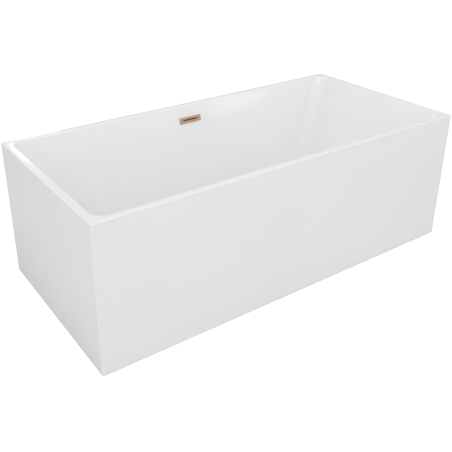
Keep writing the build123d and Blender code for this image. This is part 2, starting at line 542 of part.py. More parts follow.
def nodes():
    """Each node's name with its solid, or with a list of its separate solids."""
    made = {
        "basin_shell": basin_shell(),
        "basin_laminate": basin_laminate(),
        "skirt_shell": skirt_shell(),
        "skirt_laminate": skirt_laminate(),
        "rim_bond_bead": rim_bond_bead(),
        "floor_board": floor_board(),
        "frame_rail_front": frame_rail(-1),
        "frame_rail_back": frame_rail(1),
        "frame_weld_nuts": [threaded_nut(CROSSBAR_Z - WELD_NUT_T, CROSSBAR_Z, x, y) for x, y in FEET],
        "frame_end_caps": [place * end_cap() for place in tube_ends()],
        "skirt_brackets": [place * bracket() for place in tube_ends()],
        "bracket_screws": [place * bracket_screw() for place in tube_ends()],
        "waste_flange": waste_flange(),
        "flange_seal": ring(FLANGE_R - SEAL_INSET, DRAIN_HOLE_R, RECESS_Z, FLANGE_Z),
        "plug_cartridge": plug_cartridge(),
        "plug_stem": plug_stem(),
        "plug_spring": plug_spring(),
        "plug_cap": plug_cap(),
        "plug_seal": ring(PLUG_SEAL_R, PLUG_SEAL_IN_R, PLUG_SEAL_Z, CAP_Z),
        "waste_gasket": ring(WASTE_FLANGE_R - SEAL_INSET, DRAIN_HOLE_R, WASTE_TOP, SEAT_Z),
        "waste_body": waste_body(),
        "trap_union_nut": trap_union_nut(),
        "trap_drum": trap_drum(),
        "outlet_seal": outlet_seal(),
        "outlet_nut": outlet_nut(),
        "outlet_pipe": outlet_pipe(),
        "overflow_cover": overflow_cover(),
        "overflow_seal": overflow_seal(),
        "overflow_housing": overflow_housing(),
        "overflow_screws": [overflow_screw(x) for x in SCREW_XS],
        "overflow_pipe": overflow_pipe(),
        "overflow_inlet_nut": overflow_inlet_nut(),
    }
    for name, x in CROSSBARS.items():
        made[f"frame_crossbar_{name}"] = frame_crossbar(x)
    for number, (x, y) in enumerate(FEET, start=1):
        made[f"foot_{number}_pad"] = foot_pad(x, y)
        made[f"foot_{number}_stud"] = foot_stud(x, y)
        made[f"foot_{number}_lock_nut"] = foot_lock_nut(x, y)
    return made


os.makedirs("parts", exist_ok=True)
for node, shape in nodes().items():
    solid = Compound(children=shape) if isinstance(shape, list) else shape
    export_step(solid, f"parts/{node}.step")
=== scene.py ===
"""The looks of a rectangular freestanding bathtub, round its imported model. Lengths are in metres.

+X runs along the tub, +Y towards the wall that carries the overflow, +Z up, with the floor at z = 0.
"""

import bpy
import json
from math import cos, pi, radians, sin, tan, tau
from mathutils import Matrix, Vector

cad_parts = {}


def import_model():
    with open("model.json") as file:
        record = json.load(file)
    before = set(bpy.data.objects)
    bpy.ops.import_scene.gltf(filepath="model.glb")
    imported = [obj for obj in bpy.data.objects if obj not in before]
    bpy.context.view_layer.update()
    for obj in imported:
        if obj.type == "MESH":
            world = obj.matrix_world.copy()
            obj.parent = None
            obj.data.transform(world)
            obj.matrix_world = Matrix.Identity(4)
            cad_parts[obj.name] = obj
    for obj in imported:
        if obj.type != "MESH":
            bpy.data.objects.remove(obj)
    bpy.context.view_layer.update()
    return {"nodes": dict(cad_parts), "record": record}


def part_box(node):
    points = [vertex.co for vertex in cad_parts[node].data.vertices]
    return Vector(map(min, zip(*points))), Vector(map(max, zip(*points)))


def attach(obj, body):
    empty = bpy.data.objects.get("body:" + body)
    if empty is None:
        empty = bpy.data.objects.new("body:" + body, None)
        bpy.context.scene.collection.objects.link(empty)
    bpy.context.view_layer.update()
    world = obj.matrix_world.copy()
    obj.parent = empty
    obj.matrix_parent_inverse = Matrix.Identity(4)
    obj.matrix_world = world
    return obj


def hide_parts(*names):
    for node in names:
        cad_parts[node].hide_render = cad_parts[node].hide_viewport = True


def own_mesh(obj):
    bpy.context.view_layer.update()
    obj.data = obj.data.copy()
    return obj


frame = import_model()
MM = 0.001

# ---- the tub's measures, from the frame where it has them -------------------------------------------

SHELL_LOW, SHELL_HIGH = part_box("basin_shell")
SKIRT_LOW, SKIRT_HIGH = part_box("skirt_shell")
HALF_X, HALF_Y, RIM_Z = SHELL_HIGH
SHEET = RIM_Z - SKIRT_HIGH.z                    # thickness of the acrylic
RECESS_DEPTH = 3 * MM                           # the waste's seat
FLOOR_Z = SHELL_LOW.z + SHEET + RECESS_DEPTH
RIM_END, RIM_SIDE = 31 * MM, 28 * MM            # the flat rim's width at the ends and along the sides
END_DEGREES, SIDE_DEGREES = 28.3, 14.5          # the basin walls' angles from vertical
END_LEAN, SIDE_LEAN = tan(radians(END_DEGREES)), tan(radians(SIDE_DEGREES))
RIM_CORNER_R, FLOOR_CORNER_R = 50 * MM, 75 * MM
CORNER_TAPER = (RIM_CORNER_R - FLOOR_CORNER_R) / (RIM_Z - FLOOR_Z)
BEND_R, LIP_R = 62 * MM, 6 * MM                 # the roundings from wall to floor and from wall to rim
OUTER_CORNER_R, OUTER_EDGE_R, SKIRT_EDGE_R = 4 * MM, 2.5 * MM, 1 * MM
SKIRT_FLANGE = 14 * MM
RECESS_R, DRAIN_HOLE_R = 45 * MM, 26 * MM

# ---- meshes made of rings ---------------------------------------------------------------------------

CORNER_STEPS = 20                               # facets in a quarter turn of a rounded rectangle
RUN_SHARES = (0.2, 0.4, 0.6, 0.8)               # points along a straight side, besides one near each end
SUPPORT = 1.2 * MM                              # flat strip that keeps a flat face flat beside a bend
MOST_SUPPORT = 0.1                              # the most of a straight side that such a strip takes
QUARTER_POINTS = CORNER_STEPS + 1 + len(RUN_SHARES) + 2
TURN_STEPS = 96                                 # facets of a turned piece
SMOOTH_UP_TO = radians(32)


def outline(half_x, half_y, r):
    """A rounded rectangle as (point, outward direction) pairs, anticlockwise from its front right corner."""
    signs = ((1, -1), (1, 1), (-1, 1), (-1, -1))
    corners = [Vector((sx * (half_x - r), sy * (half_y - r))) for sx, sy in signs]
    pairs = []
    for quarter, corner in enumerate(corners):
        for step in range(CORNER_STEPS + 1):
            turn = (quarter - 1 + step / CORNER_STEPS) * pi / 2
            out = Vector((cos(turn), sin(turn)))
            pairs.append((corner + r * out, out))
        start, end = corner + r * out, corners[(quarter + 1) % 4] + r * out
        edge_share = min(MOST_SUPPORT, SUPPORT / max((end - start).length, SUPPORT))
        for share in (edge_share, *RUN_SHARES, 1 - edge_share):
            pairs.append((start.lerp(end, share), out))
    return pairs


def flat_ring(half_x, half_y, r, z):
    """A level rounded rectangle."""
    return [Vector((p.x, p.y, z)) for p, _ in outline(half_x, half_y, r)]


def round_ring(r, z, count=4 * QUARTER_POINTS):
    """A level circle, with its points turned to meet those of a rounded rectangle."""
    first = -pi / 4 - CORNER_STEPS * pi / count
    turns = [first + tau * i / count for i in range(count)]
    return [Vector((r * cos(turn), r * sin(turn), z)) for turn in turns]


def arc(r, start, end, steps):
    """Points (across, up) on an arc about the origin, from one angle in degrees to another."""
    turns = [radians(start + (end - start) * i / steps) for i in range(steps + 1)]
    return [(r * cos(turn), r * sin(turn)) for turn in turns]


def mesh_piece(name, points, faces, material):
    """A smooth-shaded mesh with crisp corners, in the tub's own frame."""
    mesh = bpy.data.meshes.new(name)
    mesh.from_pydata([tuple(p) for p in points], [], faces)
    mesh.validate()
    mesh.shade_smooth()
    mesh.set_sharp_from_angle(angle=SMOOTH_UP_TO)
    mesh.materials.append(material)
    piece = bpy.data.objects.new(name, mesh)
    bpy.context.scene.collection.objects.link(piece)
    return piece


def skin(name, rings, material, closed=True):
    """A skin over rings of equally many points. closed joins the last ring to the first;
    otherwise the first and last rings are filled in."""
    count = len(rings[0])
    points = [p for ring in rings for p in ring]
    pairs = [(k, (k + 1) % len(rings)) for k in range(len(rings) if closed else len(rings) - 1)]
    faces = []
    for a, b in pairs:
        for i in range(count):
            j = (i + 1) % count
            faces.append((a * count + i, a * count + j, b * count + j, b * count + i))
    if not closed:
        faces.append(tuple(reversed(range(count))))
        faces.append(tuple(range((len(rings) - 1) * count, len(rings) * count)))
    return mesh_piece(name, points, faces, material)


def turned(name, profile, material, centre=(0, 0), closed=True):
    """A turned piece about an upright axis. profile lists (radius, height), upwards on the outside."""
    shift = Vector((*centre, 0))
    rings = [[p + shift for p in round_ring(r, z, TURN_STEPS)] for r, z in profile]
    return skin(name, rings, material, closed)


def settle(piece, body, slot, *nodes):
    """Puts a finished piece on its body, in place of the CAD nodes that it stands for."""
    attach(piece, body)
    if nodes:
        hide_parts(*nodes)
    return piece


# ---- basin and skirt --------------------------------------------------------------------------------

WALL_STEPS, BEND_STEPS, LIP_STEPS, EDGE_STEPS = 14, 14, 6, 5    # rings up the wall and round each rounding
RECESS_EDGE_R = 1.2 * MM
LEAST_CORNER_R = 1 * MM                         # of the outer faces' inward copies


def lean(out):
    """Tangent of the basin wall's angle from vertical, where the wall faces the way out points."""
    return (END_LEAN - CORNER_TAPER) * abs(out.x) + (SIDE_LEAN - CORNER_TAPER) * abs(out.y) + CORNER_TAPER


def wall_line(z):
    """The basin's inner outline at height z, as it is before the floor's bend."""
    depth = RIM_Z - z
    half_x = HALF_X - RIM_END - depth * END_LEAN
    half_y = HALF_Y - RIM_SIDE - depth * SIDE_LEAN
    return outline(half_x, half_y, RIM_CORNER_R - depth * CORNER_TAPER)


def wall_ring(z, thickness):
    """A level ring on the basin's wall, thickness behind its inner face."""
    ring = []
    for p, out in wall_line(z):
        p = p + out * thickness * (1 + lean(out) ** 2) ** 0.5
        ring.append(Vector((p.x, p.y, z)))
    return ring


def bend_ring(share, thickness):
    """A ring on the bend between wall and floor. share runs from 0 at the wall to 1 at the floor."""
    z = FLOOR_Z + BEND_R
    r = BEND_R + thickness
    ring = []
    for p, out in wall_line(z):
        slope = lean(out)
        middle = p - out * BEND_R * (1 + slope ** 2) ** 0.5
        tilt = Vector((1, slope)).angle(Vector((1, 0)))
        turn = tilt + (pi / 2 - tilt) * share
        spot = middle + out * r * cos(turn)
        ring.append(Vector((spot.x, spot.y, z - r * sin(turn))))
    return ring


def lip_ring(share):
    """A ring on the rounding between the wall and the flat rim, from 0 at the wall to 1 on the rim."""
    z = RIM_Z - LIP_R
    ring = []
    for p, out in wall_line(z):
        slope = lean(out)
        middle = p + out * LIP_R * (1 + slope ** 2) ** 0.5
        tilt = Vector((1, slope)).angle(Vector((1, 0)))
        turn = tilt + (pi / 2 - tilt) * share
        spot = middle - out * LIP_R * cos(turn)
        ring.append(Vector((spot.x, spot.y, z + LIP_R * sin(turn))))
    return ring


def outer_ring(inset, z):
    """A level ring parallel to the tub's outer faces."""
    return flat_ring(HALF_X - inset, HALF_Y - inset, max(OUTER_CORNER_R - inset, LEAST_CORNER_R), z)


def basin():
    """The formed acrylic basin, in one closed skin round its whole thickness."""
    bend_top = FLOOR_Z + BEND_R
    wall_height = RIM_Z - LIP_R - FLOOR_Z - BEND_R
    heights = [bend_top + wall_height * i / WALL_STEPS for i in range(WALL_STEPS + 1)]
    recess_z = FLOOR_Z - RECESS_DEPTH
    rings = [round_ring(DRAIN_HOLE_R, recess_z - SHEET), round_ring(DRAIN_HOLE_R, recess_z)]
    rings += [round_ring(RECESS_R - SUPPORT, recess_z), round_ring(RECESS_R, recess_z)]
    for across, up in arc(RECESS_EDGE_R, 180, 90, EDGE_STEPS):
        rings.append(round_ring(RECESS_R + RECESS_EDGE_R + across, FLOOR_Z - RECESS_EDGE_R + up))
    rings.append(round_ring(RECESS_R + RECESS_EDGE_R + SUPPORT, FLOOR_Z))
    rings += [bend_ring(1 - i / BEND_STEPS, 0) for i in range(BEND_STEPS + 1)]
    rings += [wall_ring(z, 0) for z in heights]
    rings += [lip_ring(i / LIP_STEPS) for i in range(LIP_STEPS + 1)]
    rings.append(outer_ring(OUTER_EDGE_R + SUPPORT, RIM_Z))
    for across, up in arc(OUTER_EDGE_R, 90, 0, EDGE_STEPS):
        rings.append(outer_ring(OUTER_EDGE_R - across, RIM_Z - OUTER_EDGE_R + up))
    rings.append(outer_ring(0, RIM_Z - SHEET))
    rings += [wall_ring(z, SHEET) for z in [RIM_Z - SHEET, *reversed(heights[:-1])]]
    rings += [bend_ring(i / BEND_STEPS, SHEET) for i in range(BEND_STEPS + 1)]
    rings += [round_ring(RECESS_R + SHEET, FLOOR_Z - SHEET), round_ring(RECESS_R + SHEET, recess_z - SHEET)]
    return skin("basin", rings, finish("white_acrylic"))


def cut(piece, tool):
    """Cuts the tool's shape out of a piece, and removes the tool."""
    modifier = piece.modifiers.new("cut", "BOOLEAN")
    modifier.object = tool
    modifier.operation = "DIFFERENCE"
    modifier.solver = "EXACT"
    result = bpy.data.meshes.new_from_object(piece.evaluated_get(bpy.context.evaluated_depsgraph_get()))
    piece.modifiers.clear()
    piece.data = result
    result.shade_smooth()
    result.set_sharp_from_angle(angle=SMOOTH_UP_TO)
    bpy.data.objects.remove(tool)
    return piece


def skirt():
    """The formed acrylic skirt with its flange under the rim."""
    low, top = SKIRT_LOW.z, SKIRT_HIGH.z
    rings = []
    for across, up in arc(SKIRT_EDGE_R, -90, 0, EDGE_STEPS):
        rings.append(outer_ring(SKIRT_EDGE_R - across, low + SKIRT_EDGE_R + up))
    rings.append(outer_ring(0, top))
    inner = SHEET + SKIRT_FLANGE
    rings += [outer_ring(inner, top), outer_ring(inner, top - SHEET)]
    rings += [outer_ring(SHEET, top - SHEET), outer_ring(SHEET, low)]
    return skin("skirt", rings, finish("white_acrylic"))


# ---- overflow ---------------------------------------------------------------------------------------

OVERFLOW_DEPTH = 66 * MM                        # of the cover's middle, below the rim

# Rounded rectangles, in millimetres: across, up, corner radius and, in the rows of four, height off the wall.
HOLE, HOLE_REACH = (84, 14, 4), (-6, 3)
PLATE_FACE, PLATE_EDGE_R = (110, 26.5, 1.4, 5), 0.7
ROLL_STEPS, LEAST_ROLL_R = 4, 0.2
COVER_BACK = (
    (78, 9, 2, -5),                             # the collar's end
    (82, 12, 3, -5),
    (82, 12, 3, 0.1),                           # the plate's back
    (110, 26.5, 1.4, 0.1),
)
COVER_FRONT = (
    (92.6, 18.1, 1.2, 5),                       # the step down to the sunk panel
    (92, 17.5, 1, 4.7),
    (92, 17.5, 1, 4.0),
    (91.4, 16.9, 0.8, 3.7),
    (75.6, 5.6, 1.8, 3.7),                      # the slot
    (75, 5, 1.5, 3.4),
    (75, 5, 1.5, 2.1),
    (78, 9, 2, 2.1),                            # the hollow of the collar
)


def on_wall(p):
    """A point given in the back wall's own frame: x along the tub, y up the wall and z out of it."""
    turn = Matrix.Rotation(radians(90 - SIDE_DEGREES), 4, "X")
    middle = Vector((0, HALF_Y - RIM_SIDE - OVERFLOW_DEPTH * SIDE_LEAN, RIM_Z - OVERFLOW_DEPTH))
    return turn @ Vector(p) + middle


def plate_ring(size_x, size_y, r, z):
    """A rounded rectangle, sizes in millimetres, on the back wall."""
    return [on_wall(p) for p in flat_ring(size_x / 2 * MM, size_y / 2 * MM, r * MM, z * MM)]


def overflow_hole():
    """The slot to cut in the basin's wall."""
    return skin("hole", [plate_ring(*HOLE, z) for z in HOLE_REACH], finish("white_acrylic"), closed=False)


def rolled(size_x, size_y, r, z, edge_r):
    """Rings round the outer edge of a plate whose face is at z, from its side to its face."""
    rings = []
    for across, up in arc(edge_r, 0, 90, ROLL_STEPS):
        grow = 2 * (across - edge_r)
        corner_r = max(r + grow / 2, LEAST_ROLL_R)
        rings.append(plate_ring(size_x + grow, size_y + grow, corner_r, z - edge_r + up))
    return rings


def overflow_cover():
    """Slotted cover with rolled edges, a sunk panel, and the hollow collar behind it."""
    rings = [plate_ring(*row) for row in COVER_BACK]
    rings += rolled(*PLATE_FACE, PLATE_EDGE_R)
    rings += [plate_ring(*row) for row in COVER_FRONT]
    return skin("overflow_trim", rings, finish("rose_gold_cover"))


# ---- plug -------------------------------------------------------------------------------------------

CAP_EDGE_R, CAP_EDGE_DEGREES, CAP_EDGE_STEPS = 1.2 * MM, 80, 6
CAP_EASE, DOME, DOME_STEPS = 0.4 * MM, 2.9 * MM, 16
BOSS_R, BORE_R, BORE_DEPTH = 8 * MM, 4.1 * MM, 2.4 * MM
CORE_R = 0.2 * MM                               # of the small flat that closes a turned piece in its middle

# Seal, from its foot round its edge to its top: millimetres from the side named, share of the thickness up.
SEAL_INNER_R = 19.5 * MM
SEAL_BORE_FOOT = ((0, 0.2), (0.4, 0))
SEAL_OUTSIDE = ((4, 0), (3.4, 0.25), (2.6, 0.25), (2, 0), (0.5, 0), (0, 0.3), (0.6, 0.8), (1, 1))
SEAL_BORE_TOP = ((0.4, 1), (0, 0.8))

SPRING_TURNS, SPRING_STEPS = 5, 24              # turns of the wire, and rings in a turn
WIRE_R, WIRE_STEPS = 0.6 * MM, 8


def plug_cap():
    """Domed cap, rounded at its edge, with the bored boss under it."""
    low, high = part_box("plug_cap")
    under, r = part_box("plug_seal")[1].z, high.x
    bore_top = under + BORE_DEPTH
    profile = [(CORE_R, bore_top), (BORE_R, bore_top), (BORE_R, low.z), (BOSS_R, low.z), (BOSS_R, under)]
    profile += [(r - CAP_EASE, under), (r, under + CAP_EASE)]
    for across, up in arc(CAP_EDGE_R, 0, CAP_EDGE_DEGREES, CAP_EDGE_STEPS):
        profile.append((r - CAP_EDGE_R + across, high.z - DOME - CAP_EDGE_R + up))
    edge_r, edge_z = profile[-1]
    for step in range(1, DOME_STEPS):
        left = 1 - step / DOME_STEPS
        profile.append((edge_r * left, edge_z + (high.z - edge_z) * (1 - left ** 2)))
    return turned("plug_top", profile, finish("rose_gold"), closed=False)


def plug_ring():
    """Rubber ring under the cap, with a thin lip and a groove."""
    low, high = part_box("plug_seal")

    def spots(edge, sense, rows):
        return [(edge + sense * gap * MM, low.z + share * (high.z - low.z)) for gap, share in rows]

    profile = spots(SEAL_INNER_R, 1, SEAL_BORE_FOOT)
    profile += spots(high.x, -1, SEAL_OUTSIDE)
    profile += spots(SEAL_INNER_R, 1, SEAL_BORE_TOP)
    return turned("plug_ring", profile, finish("black_rubber"))


def plug_spring():
    """Coil spring under the stem's collar, standing on the waste's hub."""
    low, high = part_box("plug_spring")
    middle_r = high.x - WIRE_R
    count = SPRING_TURNS * SPRING_STEPS
    rings = []
    for step in range(count + 1):
        turn = tau * step / SPRING_STEPS
        z = low.z + WIRE_R + (high.z - low.z - 2 * WIRE_R) * step / count
        ring = []
        for part in range(WIRE_STEPS):
            bend = -tau * part / WIRE_STEPS
            r = middle_r + WIRE_R * cos(bend)
            ring.append((r * cos(turn), r * sin(turn), z + WIRE_R * sin(bend)))
        rings.append(ring)
    return skin("plug_coil", rings, finish("bright_steel"), closed=False)


def settle_spring():
    """Puts the spring in its place, with a mesh of its own."""
    piece = settle(plug_spring(), "tub", "bright_steel", "plug_spring")
    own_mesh(piece)


# ---- feet -------------------------------------------------------------------------------------------

STUD_R, STUD_CHAMFER = 6 * MM, 1 * MM
STUD_COLLAR = (20 * MM, 28 * MM)                # the heights that it lies between
STUD_CLEARANCE = 0.05 * MM                      # round the stud, in its nut and in its pad
COLLAR_BITE = 0.3 * MM                          # how far the collar reaches into the stud
SHANK_GAP = 0.1 * MM                            # what the plain part lacks of the full radius
TIP_DROP, TIP_EASE = 0.2 * MM, 0.3 * MM
THREAD_PITCH, THREAD_DEPTH, CREST_GAP = 1.75 * MM, 0.9 * MM, 0.05 * MM
THREAD_RUN_IN = 1 * MM                          # plain length above the collar
THREAD_FLAT = 0.1                               # of half a pitch, at the crest and at the root
THREAD_RINGS, THREAD_FACETS = 8, 48             # rings in a pitch, and points in a ring
NUT_FLAT, NUT_CHAMFER, NUT_EASE, BORE_EASE = 9.5 * MM, 0.8 * MM, 0.2 * MM, 0.5 * MM

# The pad's outside in millimetres: radius and height, and near its top radius and depth below the top.
PAD_LOW = (
    (0.2, 0.6), (5, 0.6), (6, 0), (11, 0), (11.5, 0.6), (14, 0.6), (14.5, 0), (19, 0), (19.5, 0.6),
    (21.5, 0.6), (22, 0), (25.8, 0), (26.7, 0.4), (27, 1.2), (27, 4.2), (26.6, 4.8), (25.8, 5.0),
    (22.4, 5.0), (21.2, 5.6),
)
PAD_TOP = ((13.4, 0.8), (13, 0.2), (12.6, 0))
SOCKET_EASE, SOCKET_Z = 0.3 * MM, 5 * MM


def hex_piece(name, centre, low, high, bore, material):
    """A hexagonal nut with chamfered corners, bored through."""
    turns = [tau * i / TURN_STEPS for i in range(TURN_STEPS)]
    shape = [NUT_FLAT / cos((turn + pi / 6) % (pi / 3) - pi / 6) for turn in turns]

    def ring(limit, z):
        spots = [(min(r, limit), turn) for r, turn in zip(shape, turns)]
        return [Vector((centre[0] + r * cos(turn), centre[1] + r * sin(turn), z)) for r, turn in spots]

    corner = NUT_FLAT / cos(pi / 6)
    flat, mouth = NUT_FLAT - NUT_EASE, bore + BORE_EASE
    rows = [(bore, low), (mouth, low), (flat, low), (corner, low + NUT_CHAMFER), (corner, high - NUT_CHAMFER)]
    rows += [(flat, high), (mouth, high), (bore, high), (bore, high - BORE_EASE), (bore, low + BORE_EASE)]
    return skin(name, [ring(limit, z) for limit, z in rows], material)


def thread_radius(turns):
    """The screw's radius, where turns counts pitches along its helix."""
    flank = abs(2 * (turns % 1) - 1)
    share = (flank - THREAD_FLAT) / (1 - 2 * THREAD_FLAT)
    return STUD_R - CREST_GAP - THREAD_DEPTH * min(1, max(0, share))


def threaded_rod(name, centre, low, high):
    """A rod with a screw thread from just above its collar to its top, and plain below."""
    start = STUD_COLLAR[1] + THREAD_RUN_IN
    rows = int((high - STUD_CHAMFER - start) / THREAD_PITCH * THREAD_RINGS)

    def ring(radii, z):
        spots = [(r, tau * i / THREAD_FACETS) for i, r in enumerate(radii)]
        return [Vector((centre[0] + r * cos(turn), centre[1] + r * sin(turn), z)) for r, turn in spots]

    def level(r, z):
        return ring([r] * THREAD_FACETS, z)

    rings = [level(STUD_R - STUD_CHAMFER, low), level(STUD_R - SHANK_GAP, low + STUD_CHAMFER)]
    rings.append(level(STUD_R - SHANK_GAP, start))
    for row in range(rows + 1):
        radii = [thread_radius(row / THREAD_RINGS - i / THREAD_FACETS) for i in range(THREAD_FACETS)]
        rings.append(ring(radii, start + row * THREAD_PITCH / THREAD_RINGS))
    rings.append(level(STUD_R - THREAD_DEPTH, high - TIP_DROP))
    rings.append(level(STUD_R - THREAD_DEPTH - TIP_EASE, high))
    return skin(name, rings, finish("zinc_steel"), closed=False)


def foot_pad(name, centre, high):
    """Moulded foot with grip rings under its base and a socket for the stud."""
    socket_r = STUD_R + STUD_CLEARANCE
    profile = [(r * MM, z * MM) for r, z in PAD_LOW]
    profile += [(r * MM, high - drop * MM) for r, drop in PAD_TOP]
    profile += [(socket_r + SOCKET_EASE, high), (socket_r, high - SOCKET_EASE)]
    profile += [(socket_r, SOCKET_Z), (CORE_R, SOCKET_Z)]
    return turned(name, profile, finish("black_plastic"), centre, closed=False)


def feet():
    """Every foot: its pad, its screw with the collar, and its lock nut."""
    steel = finish("zinc_steel")
    for number in range(1, 7):
        low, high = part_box(f"foot_{number}_stud")
        centre = ((low.x + high.x) / 2, (low.y + high.y) / 2)
        pad = foot_pad(f"foot_pad_{number}", centre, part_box(f"foot_{number}_pad")[1].z)
        settle(pad, f"foot_{number}", "black_plastic", f"foot_{number}_pad")
        rod = threaded_rod(f"foot_screw_{number}", centre, low.z, high.z)
        collar = hex_piece(f"foot_collar_{number}", centre, *STUD_COLLAR, STUD_R - COLLAR_BITE, steel)
        settle(rod, f"stud_{number}", "zinc_steel", f"foot_{number}_stud")
        settle(collar, f"stud_{number}", "zinc_steel")
        low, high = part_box(f"foot_{number}_lock_nut")
        nut = hex_piece(f"foot_nut_{number}", centre, low.z, high.z, STUD_R + STUD_CLEARANCE, steel)
        settle(nut, f"stud_{number}", "zinc_steel", f"foot_{number}_lock_nut")


# ---- finishes ---------------------------------------------------------------------------------------

class Finish:
    """A material under construction: its node tree, shader and object coordinates in metres."""

    def __init__(self, name, **sockets):
        self.material = bpy.data.materials.new(name)
        self.material.use_nodes = True
        self.tree = self.material.node_tree
        self.shader = self.tree.nodes["Principled BSDF"]
        self.place = self.tree.nodes.new("ShaderNodeTexCoord").outputs["Object"]
        for socket, value in sockets.items():
            self.shader.inputs[socket.replace("_", " ")].default_value = value

    def add(self, kind, **inputs):
        node = self.tree.nodes.new(kind)
        for name, value in inputs.items():
            socket = node.inputs[name.replace("_", " ")]
            if isinstance(value, bpy.types.NodeSocket):
                self.tree.links.new(value, socket)
            else:
                socket.default_value = value
        return node

    def link(self, output, socket):
        self.tree.links.new(output, self.shader.inputs[socket])

    def stretched(self, x, y, z):
        return self.add("ShaderNodeMapping", Vector=self.place, Scale=(x, y, z)).outputs["Vector"]

    def noise(self, scale, detail, roughness=0.5, vector=None):
        place = vector or self.place
        node = self.add("ShaderNodeTexNoise", Vector=place, Scale=scale, Detail=detail, Roughness=roughness)
        return node.outputs["Fac"]

    def cells(self, scale, vector):
        return self.add("ShaderNodeTexVoronoi", Vector=vector, Scale=scale).outputs["Distance"]

    def ramp(self, factor, low, high, start=0.3, end=0.7):
        node = self.add("ShaderNodeValToRGB", Fac=factor)
        node.color_ramp.elements[0].position, node.color_ramp.elements[1].position = start, end
        node.color_ramp.elements[0].color, node.color_ramp.elements[1].color = (*low, 1), (*high, 1)
        return node.outputs["Color"]

    def between(self, factor, low, high, start=0.3, end=0.7):
        node = self.add("ShaderNodeMapRange", Value=factor)
        for name, value in (("From Min", start), ("From Max", end), ("To Min", low), ("To Max", high)):
            node.inputs[name].default_value = value
        return node.outputs["Result"]

    def bump(self, height, distance):
        node = self.add("ShaderNodeBump", Height=height, Distance=distance, Strength=1.0)
        self.link(node.outputs["Normal"], "Normal")


def white_acrylic():
    """Glossy white sheet, with faint clouds in its tone and a very slight ripple."""
    f = Finish("white_acrylic", Coat_Weight=0.5, Coat_Roughness=0.03, IOR=1.49)
    clouds = f.noise(scale=3.0, detail=2.0)
    f.link(f.ramp(clouds, low=(0.872, 0.872, 0.871), high=(0.886, 0.886, 0.885)), "Base Color")
    f.link(f.between(f.noise(scale=22.0, detail=4.0, roughness=0.6), low=0.12, high=0.17), "Roughness")
    f.bump(f.noise(scale=95.0, detail=1.0), distance=0.00002)
    return f.material


def glass_fibre():
    """Resin over chopped strands that run both ways."""
    f = Finish("glass_fibre", Roughness=0.55)
    strands = f.noise(scale=60.0, detail=6.0, roughness=0.7, vector=f.stretched(1, 6, 1))
    crossing = f.noise(scale=60.0, detail=6.0, roughness=0.7, vector=f.stretched(6, 1, 3))
    f.link(f.ramp(strands, low=(0.50, 0.48, 0.36), high=(0.70, 0.69, 0.60)), "Base Color")
    f.bump(crossing, distance=0.0006)
    return f.material


def chipboard():
    """Pressed wood flakes."""
    f = Finish("chipboard", Roughness=0.7)
    flakes = f.cells(scale=240.0, vector=f.stretched(1, 1.7, 2.4))
    tone = f.ramp(flakes, low=(0.30, 0.21, 0.12), high=(0.55, 0.43, 0.27), start=0.1, end=0.8)
    f.link(tone, "Base Color")
    f.bump(flakes, distance=0.0004)
    return f.material


def plain(name, low, high, rough, grain, depth, metallic=0.0):
    """A mottled material with a fine grain, described by a row of PLAIN."""
    f = Finish(name, Metallic=metallic)
    f.link(f.ramp(f.noise(scale=14.0, detail=4.0), low, high), "Base Color")
    f.link(f.between(f.noise(scale=40.0, detail=4.0), *rough), "Roughness")
    f.bump(f.noise(scale=grain, detail=2.0), distance=depth)
    return f.material


def brushed(name, low, high, rough, squeeze):
    """Metal with fine lines drawn along one way, described by a row of BRUSHED."""
    f = Finish(name, Metallic=1.0)
    lines = f.noise(scale=260.0, detail=5.0, roughness=0.6, vector=f.stretched(*squeeze))
    f.link(f.ramp(f.noise(scale=30.0, detail=3.0), low, high), "Base Color")
    f.link(f.between(lines, *rough), "Roughness")
    f.bump(lines, distance=0.00003)
    return f.material


# Two tones, range of roughness, the grain's scale, its depth in metres, and for a metal its metallic value.
PLAIN = {
    "bonding_paste": ((0.62, 0.60, 0.52), (0.74, 0.72, 0.66), (0.5, 0.7), 70, 0.0008),
    "zinc_steel": ((0.52, 0.53, 0.55), (0.68, 0.69, 0.70), (0.28, 0.42), 600, 0.00004, 1.0),
    "grey_paint_steel": ((0.10, 0.105, 0.11), (0.13, 0.135, 0.14), (0.4, 0.5), 900, 0.0001),
    "black_plastic": ((0.018, 0.018, 0.02), (0.03, 0.03, 0.032), (0.45, 0.6), 1200, 0.0001),
    "white_plastic": ((0.66, 0.66, 0.63), (0.74, 0.74, 0.71), (0.35, 0.5), 900, 0.00008),
    "black_rubber": ((0.012, 0.012, 0.012), (0.022, 0.022, 0.022), (0.55, 0.75), 700, 0.00015),
    "clear_seal": ((0.52, 0.52, 0.50), (0.62, 0.62, 0.60), (0.25, 0.4), 400, 0.0001),
}

# Two tones, the range of roughness, and how much finer the lines are along each axis.
BRUSHED = {
    "rose_gold": ((0.64, 0.41, 0.28), (0.70, 0.46, 0.32), (0.2, 0.3), (1, 14, 14)),
    "rose_gold_cover": ((0.64, 0.41, 0.28), (0.70, 0.46, 0.32), (0.3, 0.4), (1, 14, 14)),
    "bright_steel": ((0.66, 0.66, 0.67), (0.78, 0.78, 0.78), (0.1, 0.2), (12, 12, 1)),
}

SPECIAL = {"white_acrylic": white_acrylic, "glass_fibre": glass_fibre, "chipboard": chipboard}
made = {}


def finish(slot):
    """The material for one of the record's slots, made once."""
    if slot not in made:
        if slot in PLAIN:
            made[slot] = plain(slot, *PLAIN[slot])
        elif slot in BRUSHED:
            made[slot] = brushed(slot, *BRUSHED[slot])
        else:
            made[slot] = SPECIAL[slot]()
    return made[slot]


def paint_frame():
    """Gives every CAD node the finish of its slot."""
    for entry in frame["record"]["subparts"]:
        data = frame["nodes"][entry["node"]].data
        data.materials.clear()
        data.materials.append(finish(entry["material_slot"]))


# ---- studio -----------------------------------------------------------------------------------------

